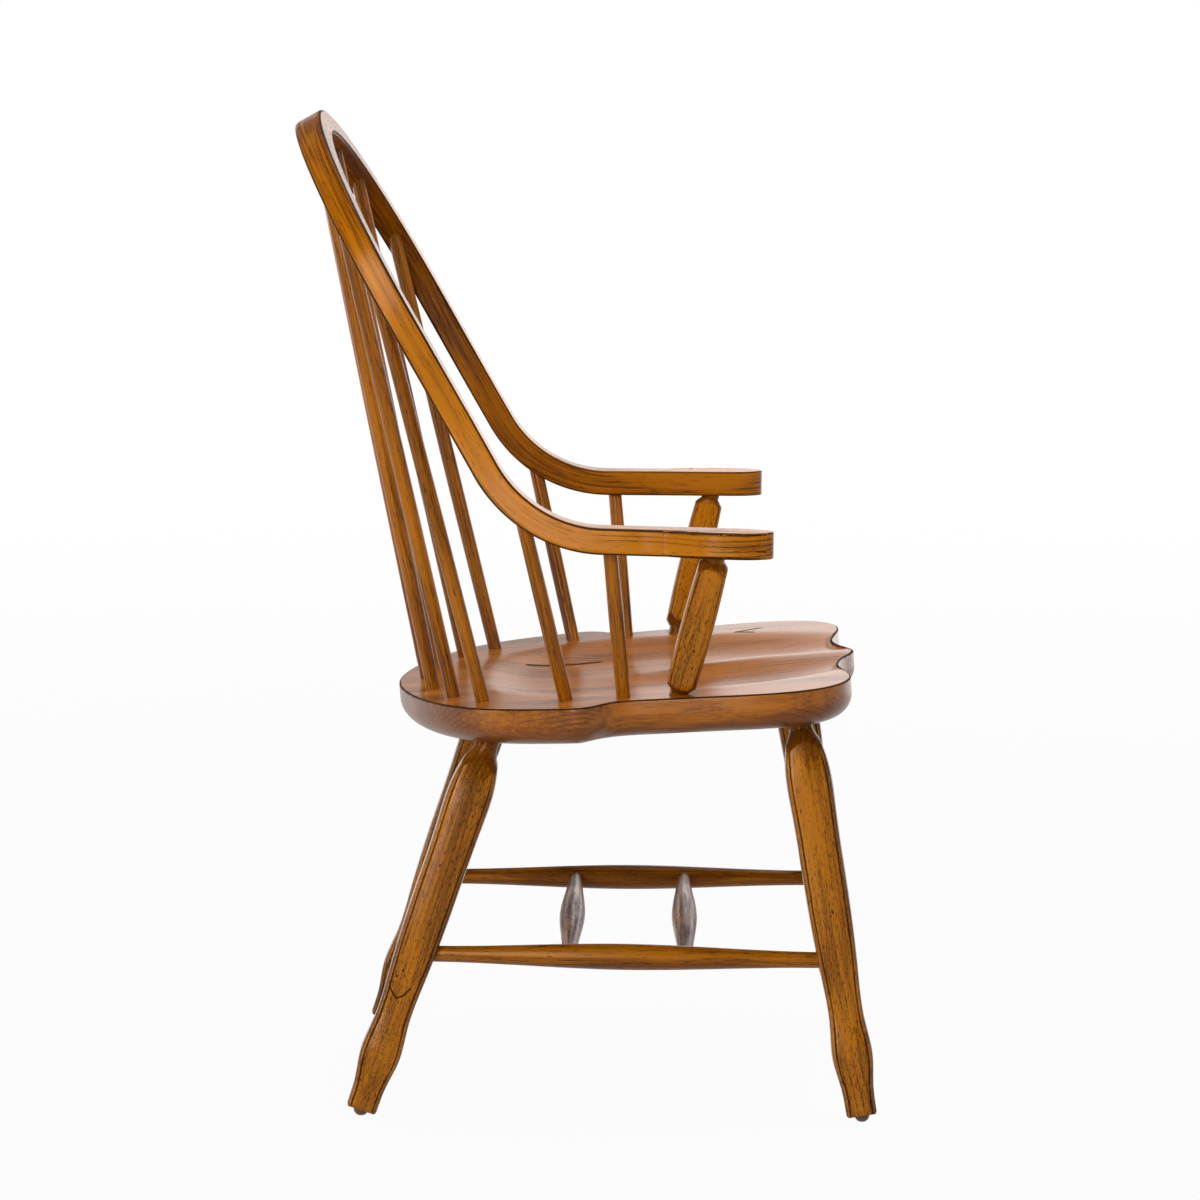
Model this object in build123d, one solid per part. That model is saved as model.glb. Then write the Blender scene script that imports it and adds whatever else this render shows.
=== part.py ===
from build123d import *
import os
from math import cos, exp, radians, sin, tan

# Bow back armchair. Millimetres, X across the sitter (+X is the sitter's left),
# the sitter faces -Y, Z up, floor at zero, Y zero at the middle of the depth.

# Fits: every round tenon is glued into a blind socket
GLUE_GAP = 0.15
END_GAP = 0.4

# Seat plank
SEAT_H = 459.3
SEAT_TILT = 4.0
SEAT_T = 41.5
SEAT_HALF_W = 305.0
SEAT_REAR = 210.0
SEAT_FRONT = 303.0
WAIST_IN = 30.0
FRONT_IN = 16.0
SEAT_WAIST = SEAT_HALF_W - WAIST_IN
SEAT_FRONT_W = SEAT_HALF_W - FRONT_IN
EAR_R = 27.0
EAR_Y = 6.0
EAR_SPARE = 2.0
SEAT_UNDER_R = EAR_R - EAR_SPARE
PLANK_SPARE = 12.0

# Saddling: a rim left flat around it, and a pommel between the thighs
DISH_DEPTH = 15.0
DISH_SIDE_RIM = 79.0
DISH_REAR_RIM = 80.0
DISH_FRONT_RUN = 52.0
DISH_MID_Y = -55.0
DISH_HALF_W = SEAT_HALF_W - DISH_SIDE_RIM
DISH_REAR = SEAT_REAR - DISH_REAR_RIM - DISH_MID_Y
DISH_FRONT = SEAT_FRONT + DISH_FRONT_RUN + DISH_MID_Y
POMMEL_HALF_W = 50.0
POMMEL_START_Y = 20.0
POMMEL_RUN = 230.0
POMMEL_SHARE = 0.96
SADDLE_MARGIN = 20.0
SADDLE_BLOCK = 60.0

# Legs, measured on their axes: tops at the seat underside, set in from its side and its front
# or rear edge, and feet on the floor, splayed out from the tops
LEG_SET = {"front": (88.0, 67.0), "rear": (91.5, 108.0)}
LEG_SPLAY = {"front": (47.0, -70.7), "rear": (30.5, 141.0)}
LEG_EDGE = {"front": (-SEAT_FRONT, 1), "rear": (SEAT_REAR, -1)}
LEG_MAX_W = 48.2
LEG_ANKLE_W = 38.5
LEG_BULB_W = 44.0
LEG_END_W = 33.0
LEG_CORNER_R = 6.5
LEG_GAIN_AT_STRETCHER = 3.5
LEG_AT_STRETCHER = LEG_ANKLE_W + LEG_GAIN_AT_STRETCHER
LEG_TENON_D = 25.4
LEG_TENON_L = 17.0
LEG_NECK_L = 38.0
LEG_NECK_RUN = 7.0
LEG_SHOULDER = 14.0
LEG_SOCKET_RUN = 25.0
FOOT_EASE = 3.0
FOOT_EASE_H = 25.0
FOOT_LIFT = 7.4
GLIDE_R = 8.2
GLIDE_PIN_D = 4.0
GLIDE_PIN_L = 16.0

# Stretchers: two along the sides and two across
STRETCHER_Z = {"front": 174.0, "rear": 177.0}
STRETCHER_END_D = 17.4
STRETCHER_MID_D = 28.6
STRETCHER_TENON_L = 24.0
STRETCHER_SOCKET_RUN = 45.0
CROSS_SET = {"front": 190.0, "rear": 196.0}
CROSS_Y = {"front": CROSS_SET["front"] - SEAT_FRONT, "rear": SEAT_REAR - CROSS_SET["rear"]}
CROSS_END_D = STRETCHER_END_D - 1.0
CROSS_TENON_L = 9.0
CROSS_FOOT_RUN = 12.0
CROSS_SOCKET_RUN = 30.0

# Bow: one bent bar that makes the back hoop and both arms, placed from the seat
BOW_RISE = 625.7
BOW_TOP_Z = SEAT_H + BOW_RISE
BOW_BACK = 86.5
BOW_TOP_Y = SEAT_REAR + BOW_BACK
BOW_LEAN = 29.5
BOW_IN = 29.0
BOW_HALF_W = SEAT_HALF_W - BOW_IN
BOW_CROWN_H = 217.0
BOW_WAIST_IN = 3.0
BOW_WAIST = BOW_HALF_W - BOW_WAIST_IN
BOW_WAIST_LOW = 45.0
BOW_BEND_R = 147.0
BOW_DEPTH = 28.6
BOW_CROWN_DEPTH = 32.0
BOW_WIDTH = 39.0
BOW_CROWN_WIDTH = 30.0
BOW_EDGE_R = 3.2
CROWN_TURN = 80.0
ARM_RISE = 195.3
ARM_TOP_Z = SEAT_H + ARM_RISE
ARM_DROP = 0.8
ARM_SHORT = 98.0
ARM_TIP_Y = ARM_SHORT - SEAT_FRONT
ARM_TIP_OUT = 35.0
ARM_TIP_X = BOW_HALF_W + ARM_TIP_OUT
ARM_BEND_OUT = 21.0
ARM_BEND_X = BOW_HALF_W + ARM_BEND_OUT
ARM_BEND_LAP = 15.0
ARM_LAP = 36.0

# Hand blocks glued to the outer side of each arm
HAND_L = 117.0
HAND_STEP = 1.2
HAND_BULGE = 12.0

# Spindles: the back ones by share of the seat's width and inset from its rear, the short ones by
# their inset from its side and front and by their distance from the arm's tip
SPINDLE_D = 16.4
SPINDLE_END_D = 15.4
SPINDLE_TENON_L = 18.0
SPINDLE_FOOT_RUN = 20.0
SPINDLE_TOP_RUN = {"back": 100.0, "arm": 20.0}
SPINDLE_AIM_IN = 8.0
SPINDLE_PAST_AIM = 6.0
SEAT_SOCKET_RUN = 14.0
BOW_SOCKET_RUN = 20.0
BACK_BASES = [(0.0, 32.0), (0.282, 42.5), (0.5164, 68.0), (0.6803, 101.7)]
BACK_TURNS = [0.0, 25.2, 44.7, 70.3]
BACK_SET = [2.5, 0.0, 0.0, 0.0]
ARM_BASES = {"rear": (68.5, 320.6), "front": (58.0, 258.0)}
ARM_FROM_TIP = {"rear": 278.1, "front": 175.6}

# Arm posts
POST_BASE = (58.0, 198.7)
POST_FROM_TIP = 57.3
POST_W = 35.0
POST_END_W = 26.0
POST_CORNER_R = 4.0
POST_TENON_D = 19.0
POST_NECK_L = 18.0
POST_NECK_RUN = 5.0
ARM_TENON_PAST = 3.0

SIDES = {"left": 1, "right": -1}


# Frames and turned work


def seat_plane():
    a = radians(SEAT_TILT)
    return Plane(origin=(0, 0, SEAT_H), x_dir=(1, 0, 0), z_dir=(0, sin(a), cos(a)))


def deck(x, y, drop=0.0):
    """Point on the seat's flat deck, or on the level that lies drop below it."""
    a = radians(SEAT_TILT)
    return Vector(x, y, SEAT_H - drop / cos(a) - y * tan(a))


def axis_plane(p, q):
    """Plane at p that looks along p to q, its x near to +X, or to +Y on a crossing piece."""
    d = (q - p).normalized()
    near = Vector(0, 1, 0) if abs(d.X) > 0.9 else Vector(1, 0, 0)
    return Plane(origin=p, x_dir=near - d * d.dot(near), z_dir=d)


def slab(face, thickness):
    """Flat face given a thickness, half of it on each side."""
    return Pos(0, 0, -thickness / 2) * extrude(face, thickness)


def fair_curve(points, start, end):
    """Smooth curve through the points that leaves and arrives in the given directions."""
    return Spline(*points, tangents=[start, end], tangent_scalars=(1, 1))


def turning(edges, length):
    """Solid turned about Z from the edges of its half profile, in order from 0 to the length."""
    rim = Polyline(edges[-1] @ 1, (0, length), (0, 0), edges[0] @ 0)
    outline = Wire([e.edge() for e in edges] + list(rim.edges()))
    return revolve(make_face(Plane.XZ * outline), Axis.Z)


def swelled(length, end_d, mid_d, tenon_a, tenon_b):
    """Turned stick with straight round ends and a gentle swelling between them."""
    r, m = end_d / 2, mid_d / 2
    low, high = tenon_a, length - tenon_b
    belly = fair_curve([(r, low), (m, (low + high) / 2), (r, high)], (0, 1), (0, 1))
    return turning([Line((r, 0), (r, low)), belly, Line((r, high), (r, length))], length)


def sawn(points, start, end, corner_r):
    """Square piece sawn to one profile from both sides, with its long corners rounded."""
    side = fair_curve(points, start, end)
    twin = mirror(side, Plane.YZ)
    (low_x, low), (high_x, high) = points[0], points[-1]
    top, base = Line((high_x, high), (-high_x, high)), Line((-low_x, low), (low_x, low))
    rim = Wire([line.edge() for line in (side, top, twin, base)])
    board = Rot(90, 0, 0) * slab(make_face(rim), 4 * max(x for x, z in points))
    blank = board & Rot(0, 0, 90) * board
    corners = blank.edges().filter_by(lambda e: e.length > (high - low) * 0.8)
    return fillet(corners, corner_r)


def bore(p, q, diameter, run_out):
    """Blind socket for a tenon that ends at p, open towards q."""
    d = (q - p).normalized()
    start = p - d * END_GAP
    height = END_GAP + run_out
    hole = Cylinder(diameter / 2 + GLUE_GAP, height, align=(Align.CENTER, Align.CENTER, Align.MIN))
    return axis_plane(start, q) * hole


# Bow path: the bar lies on a surface that is straight along X, and its centre line
# is drawn on that surface laid out flat, with S measured down from the crown


def bow_corner():
    """Where the middle lines of the back and of the arms would meet, seen from the side."""
    lean, drop = radians(BOW_LEAN), radians(ARM_DROP)
    top = (BOW_TOP_Y + cos(lean) * BOW_DEPTH / 2, BOW_TOP_Z - sin(lean) * BOW_DEPTH / 2)
    down = (-sin(lean), -cos(lean))
    arm = (-cos(drop), -sin(drop))
    level = ARM_TOP_Z - BOW_DEPTH / 2
    run = (top[1] - level) / cos(lean)
    half_turn = radians(90 - BOW_LEAN - ARM_DROP) / 2
    return top, down, arm, run, half_turn


def bow_surface(s):
    """Point and travel direction (y, z) of the bow's middle surface at the distance s."""
    top, down, arm, run, half_turn = bow_corner()
    cut = BOW_BEND_R * tan(half_turn)
    first, last = run - cut, run - cut + 2 * half_turn * BOW_BEND_R
    if s <= first:
        return (top[0] + down[0] * s, top[1] + down[1] * s), down
    if s >= last:
        go = cut + s - last
        y = top[0] + down[0] * run + arm[0] * go
        z = top[1] + down[1] * run + arm[1] * go
        return (y, z), arm
    turn = (s - first) / BOW_BEND_R
    a = radians(BOW_LEAN) + turn
    start = (top[0] + down[0] * first, top[1] + down[1] * first)
    side = (cos(radians(BOW_LEAN)), -sin(radians(BOW_LEAN)))
    centre = (start[0] - side[0] * BOW_BEND_R, start[1] + -side[1] * BOW_BEND_R)
    y = centre[0] + cos(a) * BOW_BEND_R
    z = centre[1] - sin(a) * BOW_BEND_R
    return (y, z), (-sin(a), -cos(a))


def bow_lines():
    """Centre line of one half of the bow laid out flat: crown, side, arm."""
    top, down, arm, run, half_turn = bow_corner()
    cut = BOW_BEND_R * tan(half_turn)
    last = run - cut + 2 * half_turn * BOW_BEND_R
    corner_y = top[0] + down[0] * run
    crown_end = BOW_CROWN_WIDTH / 2 + BOW_CROWN_H
    bend = Vector(ARM_BEND_X, last + ARM_BEND_LAP)
    tip = Vector(ARM_TIP_X, last - cut + (corner_y - ARM_TIP_Y) / cos(radians(ARM_DROP)))
    waist = (BOW_WAIST, (crown_end + run - cut) / 2 + BOW_WAIST_LOW)
    side = fair_curve([(BOW_HALF_W, crown_end), waist, bend], (0, 1), (tip - bend).normalized())
    return side, bend, tip


def bow_frame(x, s, dx, ds):
    """Point, outward direction and face normal of the bow at a place on its centre line."""
    (y, z), (ty, tz) = bow_surface(s)
    along = Vector(dx, ds * ty, ds * tz).normalized()
    face = Vector(0, tz, -ty)
    if face.Z < 0:
        face = face * -1
    out = along.cross(face).normalized()
    return Vector(x, y, z), along, out, face


def crown_frame(turn):
    """Bow frame on the crown at an angle from its top, in degrees."""
    a = radians(turn)
    x, s = BOW_HALF_W * sin(a), BOW_CROWN_WIDTH / 2 + BOW_CROWN_H * (1 - cos(a))
    return bow_frame(x, s, BOW_HALF_W * cos(a), BOW_CROWN_H * sin(a))


def bow_width(share):
    """Width and depth of the bar, from the crown (0) to the sides (1)."""
    k = min(max(share, 0.0), 1.0)
    k = k * k * (3 - 2 * k)
    width = BOW_CROWN_WIDTH + (BOW_WIDTH - BOW_CROWN_WIDTH) * k
    depth = BOW_CROWN_DEPTH + (BOW_DEPTH - BOW_CROWN_DEPTH) * k
    return width, depth


def half_frames():
    """Frames down one half of the bow to the arm, each with the bar's width and depth there."""
    side, bend, tip = bow_lines()
    frames = []
    for turn in range(0, 90, 10):
        frames.append((crown_frame(turn), bow_width(turn / CROWN_TURN)))
    for k in range(14):
        p, t = side @ (k / 14), side % (k / 14)
        frames.append((bow_frame(p.X, p.Y, t.X, t.Y), bow_width(1)))
    for lap in (0, ARM_LAP / 2, ARM_LAP):
        frames.append((at_station(bend.Y + lap), bow_width(1)))
    return frames


def bow_section(frame, size, flip):
    """Rounded section of the bar on its frame, on the other half of the bow if flip is -1."""
    p, along, out, face = frame
    p = Vector(p.X * flip, p.Y, p.Z)
    along = Vector(along.X, along.Y * flip, along.Z * flip)
    plane = Plane(origin=p, x_dir=face, z_dir=along)
    return plane * RectangleRounded(size[1], size[0], BOW_EDGE_R)


def at_station(s):
    """Bow frame on the side or the arm at the distance s below the crown."""
    side, bend, tip = bow_lines()
    if s >= bend.Y:
        p, t = bend + (tip - bend) * ((s - bend.Y) / (tip.Y - bend.Y)), tip - bend
        return bow_frame(p.X, s, t.X, t.Y)
    low, high = 0.0, 1.0
    for step in range(40):
        mid = (low + high) / 2
        if (side @ mid).Y < s:
            low = mid
        else:
            high = mid
    p, t = side @ low, side % low
    return bow_frame(p.X, s, t.X, t.Y)


def make_bow(sockets):
    """Bent bar lofted from arm to arm over the crown, with a straight arm at each end."""
    frames = half_frames()
    sections = [bow_section(f, w, -1) for f, w in reversed(frames[1:])]
    sections += [bow_section(f, w, 1) for f, w in frames]
    bar = loft(sections)
    for sign in SIDES.values():
        bar += hand_plane(sign) * arm_end()
    return bar - sockets


# Arms and hands, drawn flat: x outwards from the arm's middle, y back from the tip


def hand_plane(sign):
    """Plane on the arm's middle level at its tip, x outwards and y back along the arm."""
    side, bend, tip = bow_lines()
    p, along, out, face = at_station(tip.Y)
    if out.X < 0:
        out = out * -1
    p = Vector(p.X * sign, p.Y, p.Z)
    out = Vector(out.X * sign, out.Y, out.Z)
    return Plane(origin=p, x_dir=out, z_dir=face * sign)


def hand_paddle():
    """Whole hand with eased rims, from its rounded tip to the step behind it."""
    half = BOW_WIDTH / 2
    wide = half + HAND_BULGE
    points = [
        (half + HAND_STEP, HAND_L),
        (wide - 2, HAND_L * 0.64),
        (wide, HAND_L * 0.38),
        (wide - 5, HAND_L * 0.13),
        (half * 0.4, 0),
        (-half * 0.62, HAND_L * 0.12),
        (-half, HAND_L * 0.46),
    ]
    rim = fair_curve(points, (0.05, -1), (0, 1))
    inner = Line(points[-1], (-half, HAND_L))
    face = make_face(rim + inner + Line(inner @ 1, points[0]))
    whole = slab(face, BOW_DEPTH)
    rims = whole.edges().filter_by(lambda e: abs(abs(e.center().Z) - BOW_DEPTH / 2) < 0.01)
    rims = rims.filter_by(lambda e: e.center().Y < HAND_L - 1)
    return fillet(rims, BOW_EDGE_R)


def arm_end():
    """Straight arm and the part of the hand that is cut from the bent bar itself."""
    side, bend, tip = bow_lines()
    bar = Box(BOW_WIDTH * 3, HAND_L * 3, BOW_DEPTH * 2)
    hand = hand_paddle() & Pos(-BOW_WIDTH, 0, 0) * bar
    start = Plane(origin=(0, HAND_L, 0), x_dir=(1, 0, 0), z_dir=(0, 1, 0))
    section = start * RectangleRounded(BOW_WIDTH, BOW_DEPTH, BOW_EDGE_R)
    return hand + extrude(section, (tip - bend).length * (1 - ARM_LAP / (tip - bend).Y) - HAND_L)


def make_hand_block(sign):
    """Crescent that widens the hand, glued along the straight outer side of the arm."""
    room = Pos(BOW_WIDTH * 2 + GLUE_GAP, 0, 0) * Box(BOW_WIDTH * 3, HAND_L * 3, BOW_DEPTH * 2)
    return hand_plane(sign) * (hand_paddle() & room)


# Seat


def seat_outline():
    """Closed outline: round back, two ears, drawn-in waist, and a pommel between two scallops."""
    ear = CenterArc((SEAT_HALF_W - EAR_R, EAR_Y), EAR_R, 15, -48)
    other = mirror(ear, Plane.YZ)
    back = [
        (SEAT_HALF_W * 0.38, SEAT_REAR * 0.918),
        (SEAT_HALF_W * 0.672, SEAT_REAR * 0.743),
        (SEAT_HALF_W * 0.862, SEAT_REAR * 0.51),
    ]
    front = [
        (SEAT_WAIST + 1.5, -SEAT_FRONT * 0.115),
        (SEAT_WAIST, -SEAT_FRONT * 0.23),
        (SEAT_WAIST * 0.45 + SEAT_FRONT_W * 0.55, -SEAT_FRONT * 0.46),
        (SEAT_FRONT_W, -SEAT_FRONT * 0.68),
        (SEAT_FRONT_W * 0.935, -SEAT_FRONT * 0.865),
        (SEAT_FRONT_W * 0.727, -SEAT_FRONT * 0.963),
        (SEAT_FRONT_W * 0.55, -SEAT_FRONT * 0.955),
        (SEAT_FRONT_W * 0.34, -SEAT_FRONT * 0.932),
        (SEAT_FRONT_W * 0.15, -SEAT_FRONT * 0.962),
    ]
    twin = [(-x, y) for x, y in back]
    rear_points = [other @ 0] + twin[::-1] + [(0, SEAT_REAR)] + back + [ear @ 0]
    rear_edge = fair_curve(rear_points, (other % 0) * -1, ear % 0)
    twin = [(-x, y) for x, y in front]
    front_points = [ear @ 1] + front + [(0, -SEAT_FRONT)] + twin[::-1] + [other @ 1]
    front_edge = fair_curve(front_points, ear % 1, (other % 1) * -1)
    return Wire([rear_edge.edge(), ear.edge(), front_edge.edge(), other.edge()])


def ease(k):
    k = min(max(k, 0.0), 1.0)
    return k * k * (3 - 2 * k)


def dish(x, y):
    """Depth of the saddling: two thigh hollows with a pommel between them at the front."""
    back = (y - DISH_MID_Y) / (DISH_REAR if y > DISH_MID_Y else DISH_FRONT)
    room = 1 - abs(x / DISH_HALF_W) ** 2.4 - abs(back) ** 2.2
    hollow = ease(1.25 * room)
    ridge = exp(-((x / POMMEL_HALF_W) ** 2)) * ease((POMMEL_START_Y - y) / POMMEL_RUN)
    return DISH_DEPTH * hollow * (1 - POMMEL_SHARE * ridge)


def saddle():
    """Block whose underside is the saddled top of the seat."""
    across, steps = SEAT_HALF_W + SADDLE_MARGIN, 32
    first, last = -SEAT_FRONT - SADDLE_MARGIN, SEAT_REAR + SADDLE_MARGIN
    rows = []
    for i in range(steps + 1):
        y = first + (last - first) * i / steps
        xs = [across * (2 * j / steps - 1) for j in range(steps + 1)]
        rows.append([Vector(x, y, -dish(x, y)) for x in xs])
    top = Face.make_surface_from_array_of_points(rows)
    return extrude(top, SADDLE_BLOCK, dir=(0, 0, 1))


def make_seat(sockets):
    blank = Pos(0, 0, -SEAT_T) * extrude(make_face(seat_outline()), SEAT_T + PLANK_SPARE)
    low = blank.edges().filter_by(lambda e: e.center().Z < -SEAT_T + 0.01)
    plank = fillet(low, SEAT_UNDER_R) - saddle()
    return seat_plane() * plank - sockets


# Legs


def leg_axis(end, sign):
    """Foot centre and the place where the axis meets the seat underside."""
    edge, inward = LEG_EDGE[end]
    tx, ty = SEAT_HALF_W - LEG_SET[end][0], edge + inward * LEG_SET[end][1]
    floor = Vector((tx + LEG_SPLAY[end][0]) * sign, ty + LEG_SPLAY[end][1], 0)
    top = deck(tx * sign, ty, SEAT_T)
    d = (top - floor).normalized()
    return floor + d * (FOOT_LIFT / d.Z), top


def on_leg(end, sign, z):
    foot, top = leg_axis(end, sign)
    return foot + (top - foot) * ((z - foot.Z) / (top.Z - foot.Z))


def leg_body(length, full):
    """Leg sawn to one profile from both sides, with rounded corners and an eased foot."""
    half, wide, end = LEG_END_W / 2, LEG_MAX_W / 2, LEG_TENON_D / 2
    points = [
        (half, 0),
        (half + 1, length * 0.07),
        (LEG_BULB_W / 2, length * 0.145),
        (LEG_ANKLE_W / 2, length * 0.235),
        (LEG_ANKLE_W / 2 + 1.2, length * 0.36),
        (wide - 0.8, length * 0.55),
        (wide, length * 0.76),
        (wide - 1.2, length - 42),
        (wide * 0.77, length - 24),
        (end + 1, length - 8),
        (end + 1, full),
    ]
    blank = sawn(points, (0.02, 1), (0, 1), LEG_CORNER_R)
    sole = LEG_END_W - FOOT_EASE
    cone = extrude(Rectangle(sole, sole), FOOT_EASE_H, taper=-45)
    rest = Pos(0, 0, FOOT_EASE_H + full / 2) * Box(LEG_MAX_W * 3, LEG_MAX_W * 3, full)
    return blank & (cone + rest)


def neck_envelope(length, full):
    """Turned form that leaves the leg square and draws its top in to the neck and tenon."""
    wide, neck = LEG_MAX_W, LEG_TENON_D / 2
    low, high = length - LEG_NECK_L, length - LEG_NECK_RUN
    waist = (wide * 0.66, low)
    points = [waist, (wide * 0.47, length - 28), (neck + 4, length - 20), (neck, high)]
    cove = fair_curve(points, (-0.6, 1), (0, 1))
    shaft = Line((wide, 0), (wide, low - LEG_SHOULDER))
    shoulder = Line((wide, low - LEG_SHOULDER), waist)
    return turning([shaft, shoulder, cove, Line((neck, high), (neck, full))], full)


def make_leg(end, sign, sockets):
    """Square leg with a bulb foot, and a turned neck and tenon at its top."""
    foot, top = leg_axis(end, sign)
    length = (top - foot).length
    full = length + LEG_TENON_L
    return axis_plane(foot, top) * (leg_body(length, full) & neck_envelope(length, full)) - sockets


def leg_socket(end, sign):
    foot, top = leg_axis(end, sign)
    d = (top - foot).normalized()
    return bore(top + d * LEG_TENON_L, foot, LEG_TENON_D, LEG_TENON_L + LEG_SOCKET_RUN)


def make_glide(end, sign):
    """Domed nail under the foot, worn flat where it stands on the floor."""
    foot, top = leg_axis(end, sign)
    pin = Cylinder(GLIDE_PIN_D / 2, GLIDE_PIN_L, align=(Align.CENTER, Align.CENTER, Align.MIN))
    dome = Sphere(GLIDE_R) & Pos(0, 0, -50 - 0.05) * Box(100, 100, 100)
    nail = axis_plane(foot, top) * (dome + Pos(0, 0, -1) * pin)
    return nail - Pos(0, 0, -50) * Box(1500, 1500, 100)


def glide_hole(end, sign):
    foot, top = leg_axis(end, sign)
    d = (top - foot).normalized()
    return bore(foot + d * (GLIDE_PIN_L - 1), foot, GLIDE_PIN_D, GLIDE_PIN_L + 4)


# Stretchers


def side_ends(sign):
    return [on_leg(end, sign, STRETCHER_Z[end]) for end in ("rear", "front")]


def side_stretcher_ends(sign):
    """Ends of the tenons of a side stretcher inside the two legs."""
    a, b = side_ends(sign)
    d = (b - a).normalized()
    inset = LEG_AT_STRETCHER / 2 - STRETCHER_TENON_L
    return a + d * inset, b - d * inset


def make_side_stretcher(sign, sockets):
    a, b = side_stretcher_ends(sign)
    length = (b - a).length
    stick = swelled(length, STRETCHER_END_D, STRETCHER_MID_D, STRETCHER_TENON_L, STRETCHER_TENON_L)
    return axis_plane(a, b) * stick - sockets


def cross_ends(end):
    """Tenon ends of a cross stretcher, right to left, just past the side stretchers' axes."""
    ends = []
    for sign in (-1, 1):
        a, b = side_ends(sign)
        k = (CROSS_Y[end] - a.Y) / (b.Y - a.Y)
        ends.append(a + (b - a) * k)
    d = (ends[1] - ends[0]).normalized()
    inset = STRETCHER_MID_D / 2 - CROSS_TENON_L
    return ends[0] + d * inset, ends[1] - d * inset


def make_cross_stretcher(end):
    a, b = cross_ends(end)
    run = CROSS_FOOT_RUN
    return axis_plane(a, b) * swelled((b - a).length, CROSS_END_D, STRETCHER_MID_D, run, run)


# Spindles and posts


def back_spindle_ends(number, sign):
    """Tenon ends of a back spindle, in the seat and in the bow's inner side."""
    share, inset = BACK_BASES[number]
    p, along, out, face = crown_frame(BACK_TURNS[number])
    width, depth = bow_width(BACK_TURNS[number] / CROWN_TURN)
    if out.Z < 0:
        out = out * -1
    aim = p - out * (width / 2 - SPINDLE_AIM_IN) - face * BACK_SET[number]
    foot = deck(SEAT_HALF_W * share, SEAT_REAR - inset)
    d = (aim - foot).normalized()
    low = foot - d * SPINDLE_TENON_L
    high = aim + d * (SPINDLE_PAST_AIM / d.dot(out))
    return Vector(low.X * sign, low.Y, low.Z), Vector(high.X * sign, high.Y, high.Z)


def arm_ends(base, from_tip, sign, tenon):
    """Tenon ends of an upright that stands on the deck and enters the arm from below."""
    side, bend, tip = bow_lines()
    p = at_station(tip.Y - from_tip)[0]
    foot = deck(SEAT_HALF_W - base[0], base[1] - SEAT_FRONT)
    d = (p - foot).normalized()
    low = foot - d * tenon
    high = p + d * ARM_TENON_PAST
    return Vector(low.X * sign, low.Y, low.Z), Vector(high.X * sign, high.Y, high.Z)


def make_spindle(a, b, top_run):
    length = (b - a).length
    return axis_plane(a, b) * swelled(length, SPINDLE_END_D, SPINDLE_D, SPINDLE_FOOT_RUN, top_run)


def make_post(sign):
    """Square barrel-shaped post with eased corners and a turned neck and tenon at each end."""
    a, b = post_ends(sign)
    length = (b - a).length
    under_arm = ARM_TENON_PAST + BOW_DEPTH / 2 / ((b - a).Z / length)
    low, high = SPINDLE_TENON_L + POST_NECK_RUN, length - under_arm - POST_NECK_RUN
    r, wide = POST_TENON_D / 2, POST_W * 0.72
    first, last = low + POST_NECK_L, high - POST_NECK_L
    end, swell = POST_END_W / 2, 2 * (POST_W - POST_END_W) / length
    points = [(end, 0), (POST_W / 2, length / 2), (end, length)]
    blank = sawn(points, (swell, 1), (-swell, 1), POST_CORNER_R)
    corners = [(r, 0), (r, low), (wide, first), (wide, last), (r, high), (r, length)]
    turned = turning([Line(p, q) for p, q in zip(corners, corners[1:])], length)
    return axis_plane(a, b) * (blank & turned)


def post_ends(sign):
    return arm_ends(POST_BASE, POST_FROM_TIP, sign, SPINDLE_TENON_L)


# All pieces


def uprights():
    """Name, tenon ends and tenon diameter of every spindle and post."""
    rows = [("back_spindle_4", back_spindle_ends(0, 1), SPINDLE_END_D)]
    for number in (1, 2, 3):
        for sign in SIDES.values():
            name = f"back_spindle_{4 + number * sign}"
            rows.append((name, back_spindle_ends(number, sign), SPINDLE_END_D))
    for side, sign in SIDES.items():
        for end in ("rear", "front"):
            pair = arm_ends(ARM_BASES[end], ARM_FROM_TIP[end], sign, SPINDLE_TENON_L)
            rows.append((f"arm_spindle_{end}_{side}", pair, SPINDLE_END_D))
        rows.append((f"arm_post_{side}", post_ends(sign), POST_TENON_D))
    return rows


def build():
    pieces = {}
    seat_bores, bow_bores = [], []
    for name, (low, high), d in uprights():
        top_run = SPINDLE_TOP_RUN[name.split("_")[0]]
        seat_bores.append(bore(low, high, d, SPINDLE_TENON_L + SEAT_SOCKET_RUN))
        bow_bores.append(bore(high, low, d, top_run + BOW_SOCKET_RUN))
        if not name.startswith("arm_post"):
            pieces[name] = make_spindle(low, high, top_run)
    for side, sign in SIDES.items():
        pieces[f"arm_post_{side}"] = make_post(sign)
        pieces[f"hand_block_{side}"] = make_hand_block(sign)
        a, b = side_stretcher_ends(sign)
        for end in ("front", "rear"):
            seat_bores.append(leg_socket(end, sign))
            near, far = (b, a) if end == "front" else (a, b)
            tenon_hole = bore(near, far, STRETCHER_END_D, STRETCHER_SOCKET_RUN)
            holes = [tenon_hole, glide_hole(end, sign)]
            pieces[f"{end}_leg_{side}"] = make_leg(end, sign, holes)
            pieces[f"glide_{end}_{side}"] = make_glide(end, sign)
        holes = []
        for end in ("front", "rear"):
            c, d = cross_ends(end)
            near, far = (d, c) if sign > 0 else (c, d)
            holes.append(bore(near, far, CROSS_END_D, CROSS_SOCKET_RUN))
        pieces[f"side_stretcher_{side}"] = make_side_stretcher(sign, holes)
    for end in ("front", "rear"):
        pieces[f"cross_stretcher_{end}"] = make_cross_stretcher(end)
    pieces["seat"] = make_seat(seat_bores)
    pieces["bow"] = make_bow(bow_bores)
    return pieces


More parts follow.
